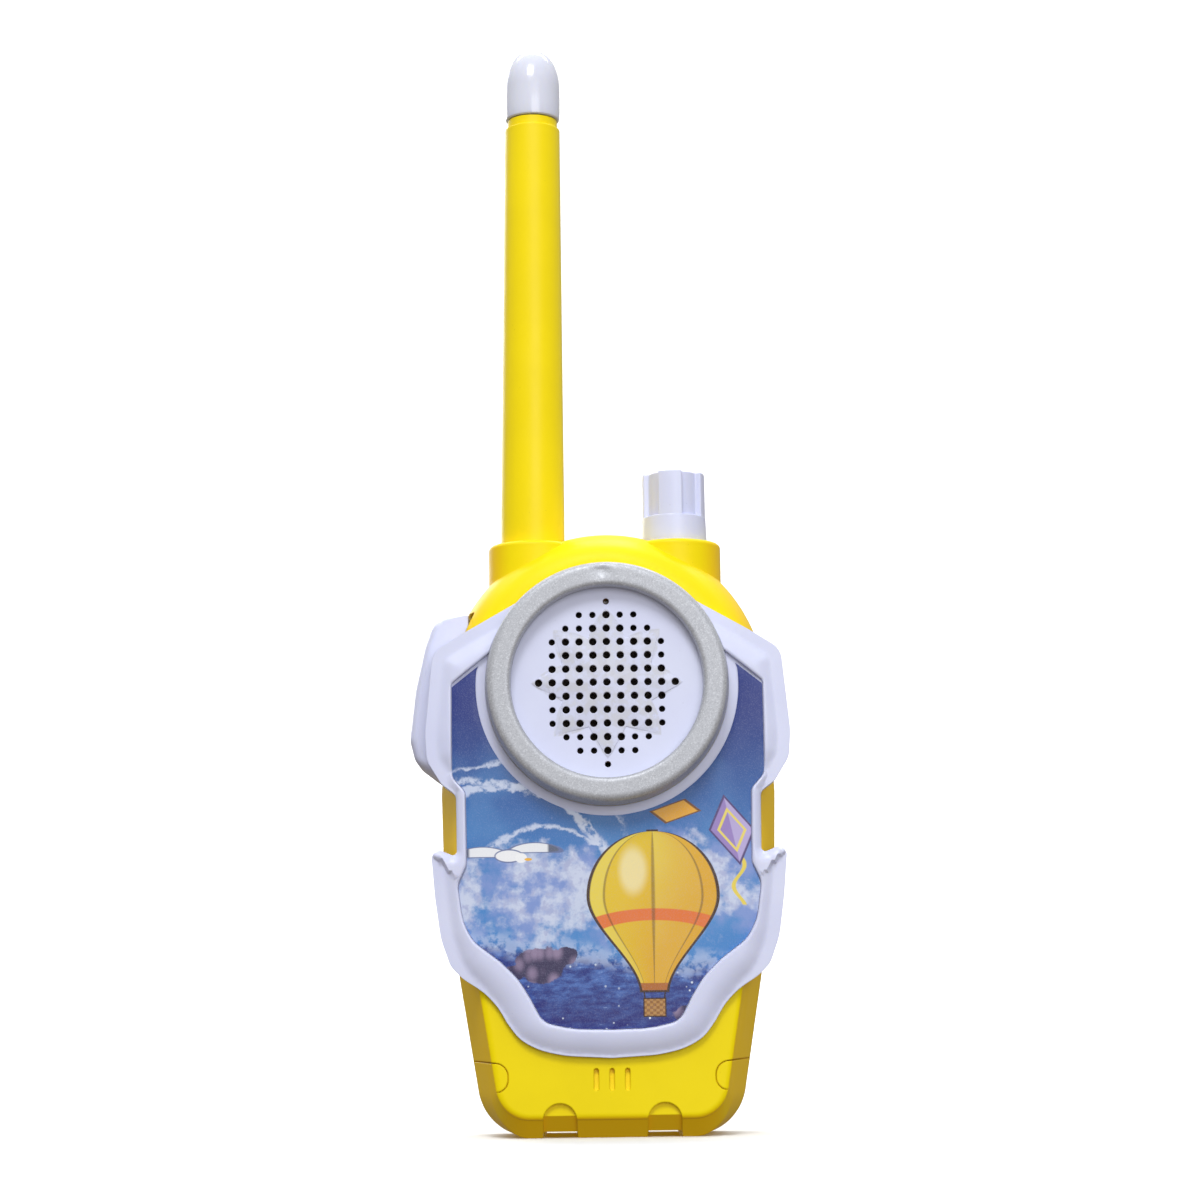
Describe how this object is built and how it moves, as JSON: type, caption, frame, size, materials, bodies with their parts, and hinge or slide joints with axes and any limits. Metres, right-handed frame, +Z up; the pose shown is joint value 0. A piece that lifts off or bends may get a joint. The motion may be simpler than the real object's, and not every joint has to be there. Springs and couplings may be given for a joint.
{
  "type": "toy walkie talkie",
  "caption": "Hand-held toy two-way radio with a stub aerial, round speaker, volume knob, side talk bar, framed picture panel, battery door and belt clip.",
  "frame": {"origin": "centre of the flat base the radio stands on, on the rear shell", "axes": "+X to the knob side, +Y to the rear, away from the speaker, +Z up along the aerial"},
  "size_m": [0.0757, 0.0484, 0.2252],
  "materials": {
    "battery_jacket": "printed steel jacket",
    "black_plastic": "moulded",
    "board": "paper phenolic board",
    "brass": "plain",
    "cap_plastic": "glossy moulded",
    "capacitor_sleeve": "shrink sleeve",
    "cone_paper": "pulp",
    "foam": "open foam",
    "printed_label": "printed film, satin",
    "rubber": "moulded",
    "silver_paint": "fine metallic silver paint",
    "steel": "plated",
    "white_plastic": "satin moulded, lavender white",
    "wire_black": "insulated wire",
    "wire_red": "insulated wire",
    "yellow_plastic": "satin moulded"
  },
  "bodies": {
    "case": {"aerial_cap": "cap_plastic", "aerial_lead": "wire_red", "aerial_lug": "brass", "aerial_sleeve": "yellow_plastic", "aerial_wire": "steel", "amplifier_chip": "black_plastic", "battery": "battery_jacket", "battery_lead_black": "wire_black", "battery_lead_red": "wire_red", "battery_snap": "black_plastic", "board_screw_1": "steel", "board_screw_2": "steel", "bracket_screw_1": "steel", "bracket_screw_2": "steel", "case_screw_1": "steel", "case_screw_2": "steel", "case_screw_3": "steel", "case_screw_4": "steel", "circuit_board": "board", "clamp_screw_1": "steel", "clamp_screw_2": "steel", "clamp_screw_3": "steel", "clip_bracket": "white_plastic", "clip_pin": "steel", "clip_spring": "steel", "crystal": "steel", "filter_capacitor": "capacitor_sleeve", "front_bezel": "white_plastic", "front_shell": "yellow_plastic", "mic_boot": "rubber", "mic_lead_black": "wire_black", "mic_lead_red": "wire_red", "microphone": "steel", "picture_label": "printed_label", "radio_chip": "black_plastic", "rear_shell": "yellow_plastic", "small_capacitor": "capacitor_sleeve", "speaker_clamp": "black_plastic", "speaker_cone": "cone_paper", "speaker_frame": "steel", "speaker_gasket": "foam", "speaker_grille": "white_plastic", "speaker_lead_black": "wire_black", "speaker_lead_red": "wire_red", "speaker_magnet": "steel", "speaker_ring": "silver_paint", "talk_switch": "black_plastic", "tuning_can_1": "steel", "tuning_can_2": "steel", "volume_control": "black_plastic"},
    "talk_bar": {"talk_bar": "white_plastic", "switch_plunger": "black_plastic"},
    "knob": {"knob": "white_plastic", "volume_shaft": "steel"},
    "battery_door": {"battery_door": "yellow_plastic", "door_screw_1": "steel", "door_screw_2": "steel"},
    "belt_clip": {"belt_clip": "white_plastic"}
  },
  "joints": [
    {"name": "talk_press", "type": "slide", "parent": "case", "child": "talk_bar", "axis": [1, 0, 0], "range_m": [0, 0.0008], "stiffness_N_per_m": 900},
    {"name": "volume_turn", "type": "hinge", "parent": "case", "child": "knob", "pos_m": [0.01425, -0.005, 0.125], "axis": [0, 0, 1], "range_deg": [-280, 0]},
    {"name": "door_lift", "type": "slide", "parent": "case", "child": "battery_door", "axis": [0, 1, 0], "range_m": [0, 0.03]},
    {"name": "clip_open", "type": "hinge", "parent": "case", "child": "belt_clip", "pos_m": [0, 0.018, 0.102], "axis": [1, 0, 0], "range_deg": [0, 20], "stiffness_Nm_per_rad": 0.12}
  ]
}
